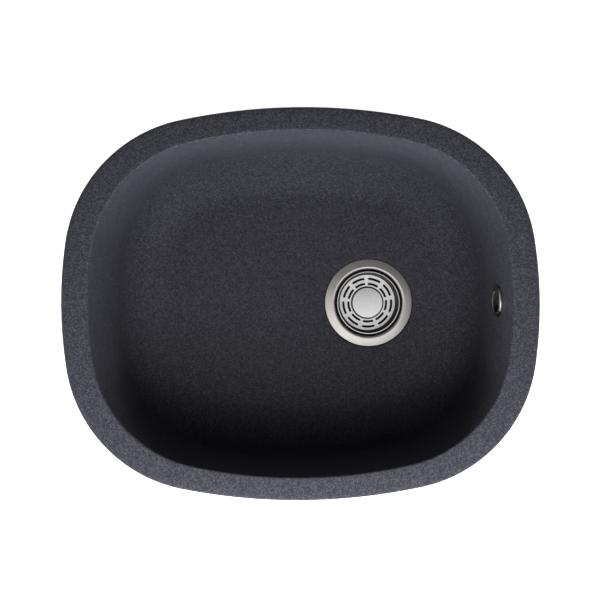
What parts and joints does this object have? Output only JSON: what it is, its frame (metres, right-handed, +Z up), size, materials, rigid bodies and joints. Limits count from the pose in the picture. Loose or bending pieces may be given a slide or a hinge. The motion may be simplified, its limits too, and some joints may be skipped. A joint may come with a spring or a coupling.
{
  "type": "kitchen sink",
  "caption": "Drop-in quartz composite kitchen sink: deep oval bowl with a flat rim, steel basket strainer waste, wall overflow with hose, and swing-out fixing clips.",
  "frame": {"origin": "centre of the rim's outline in the plane of the rim's underside, where it rests on the worktop", "axes": "+Z up, +X along the length towards the drain and the overflow, +Y towards the back"},
  "size_m": [0.5598, 0.46, 0.307],
  "materials": {
    "quartz": "satin graphite black with fine pale grain",
    "foam": "matte closed-cell foam",
    "rubber": "matte",
    "stainless": "satin, circular brushed",
    "steel": "satin",
    "zinc": "zinc plated",
    "chrome": "polished",
    "black_plastic": "matte moulded",
    "hose_plastic": "satin ribbed",
    "brass": "turned"
  },
  "bodies": {
    "sink": {"bowl": "quartz", "rim_seal": "foam", "strainer_cup": "stainless", "flange_gasket": "rubber", "body_gasket": "rubber", "waste_body": "black_plastic", "waste_insert": "brass", "waste_screw": "steel", "overflow_rosette": "chrome", "rosette_gasket": "rubber", "overflow_screw": "steel", "elbow_gasket": "rubber", "overflow_elbow": "black_plastic", "overflow_hose": "hose_plastic", "hose_clamp_lower": "steel", "clamp_screw_lower": "zinc", "hose_clamp_upper": "steel", "clamp_screw_upper": "zinc", "clip_inserts": "brass", "clip_studs": "zinc"},
    "plug": {"basket_knob": "stainless", "plug_stem": "black_plastic", "plug_seal": "rubber", "snap_ring": "steel"},
    "basket": {"basket": "stainless"},
    "nut_back_right": {"clip_nut_back_right": "zinc"},
    "arm_back_right": {"clip_arm_back_right": "zinc"},
    "nut_back_left": {"clip_nut_back_left": "zinc"},
    "arm_back_left": {"clip_arm_back_left": "zinc"},
    "nut_front_left": {"clip_nut_front_left": "zinc"},
    "arm_front_left": {"clip_arm_front_left": "zinc"},
    "nut_front_right": {"clip_nut_front_right": "zinc"},
    "arm_front_right": {"clip_arm_front_right": "zinc"}
  },
  "joints": [
    {"name": "basket_lift", "type": "slide", "parent": "sink", "child": "plug", "axis": [0, 0, 1], "range_m": [0, 0.27]},
    {"name": "basket_spin", "type": "hinge", "parent": "plug", "child": "basket", "pos_m": [0.0895, 0, -0.217], "axis": [0, 0, 1], "continuous": true},
    {"name": "clip_nut_back_right_run", "type": "slide", "parent": "sink", "child": "nut_back_right", "axis": [0, 0, 1], "range_m": [0, 0.016]},
    {"name": "clip_arm_back_right_swing", "type": "hinge", "parent": "nut_back_right", "child": "arm_back_right", "pos_m": [0.21487, 0.15766, -0.0505], "axis": [0, 0, 1], "range_deg": [0, 90]},
    {"name": "clip_nut_back_left_run", "type": "slide", "parent": "sink", "child": "nut_back_left", "axis": [0, 0, 1], "range_m": [0, 0.016]},
    {"name": "clip_arm_back_left_swing", "type": "hinge", "parent": "nut_back_left", "child": "arm_back_left", "pos_m": [-0.21487, 0.15766, -0.0505], "axis": [0, 0, 1], "range_deg": [0, 90]},
    {"name": "clip_nut_front_left_run", "type": "slide", "parent": "sink", "child": "nut_front_left", "axis": [0, 0, 1], "range_m": [0, 0.016]},
    {"name": "clip_arm_front_left_swing", "type": "hinge", "parent": "nut_front_left", "child": "arm_front_left", "pos_m": [-0.21487, -0.15766, -0.0505], "axis": [0, 0, 1], "range_deg": [0, 90]},
    {"name": "clip_nut_front_right_run", "type": "slide", "parent": "sink", "child": "nut_front_right", "axis": [0, 0, 1], "range_m": [0, 0.016]},
    {"name": "clip_arm_front_right_swing", "type": "hinge", "parent": "nut_front_right", "child": "arm_front_right", "pos_m": [0.21487, -0.15766, -0.0505], "axis": [0, 0, 1], "range_deg": [0, 90]}
  ]
}
